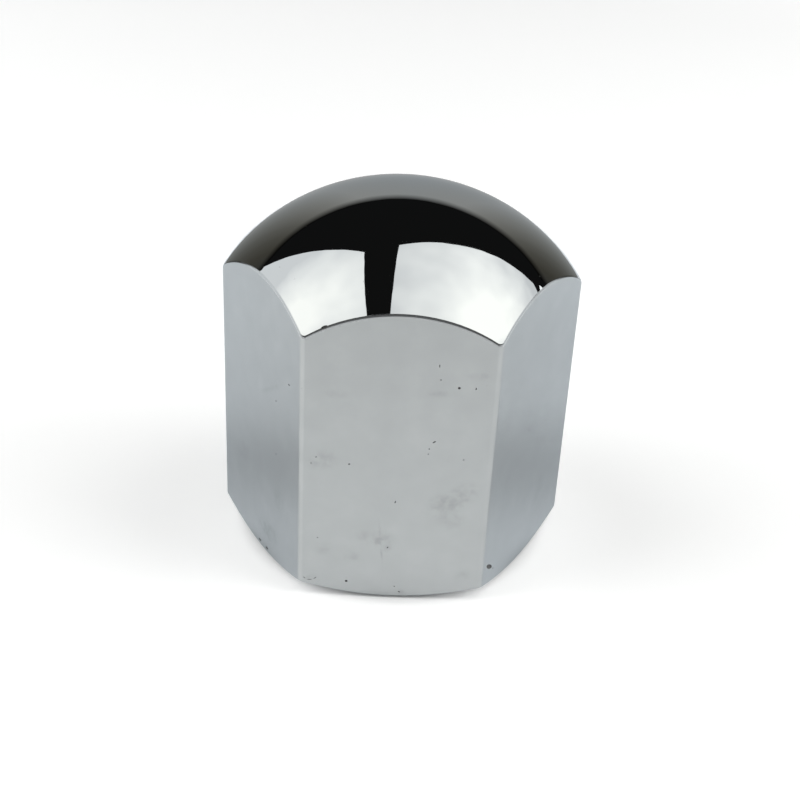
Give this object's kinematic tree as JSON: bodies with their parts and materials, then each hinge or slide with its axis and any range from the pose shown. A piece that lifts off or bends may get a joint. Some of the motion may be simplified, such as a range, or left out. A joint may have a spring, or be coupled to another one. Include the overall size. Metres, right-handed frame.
{
  "type": "cap nut",
  "caption": "Tall hexagonal cap nut with a domed, closed top, a chamfered bearing face and a blind threaded hole. It screws onto the end of a stud and covers it.",
  "frame": {"origin": "centre of the bearing face, on the axis of the nut", "axes": "+Z along the axis from the bearing face to the dome; +X through a corner of the hexagon, so -Y faces out of a flat"},
  "size_m": [0.0344, 0.03, 0.036],
  "materials": {
    "chrome": "polished chrome plate on steel, slightly hazed and pitted on the flats"
  },
  "bodies": {
    "root": {"cap_nut": "chrome"}
  },
  "joints": []
}
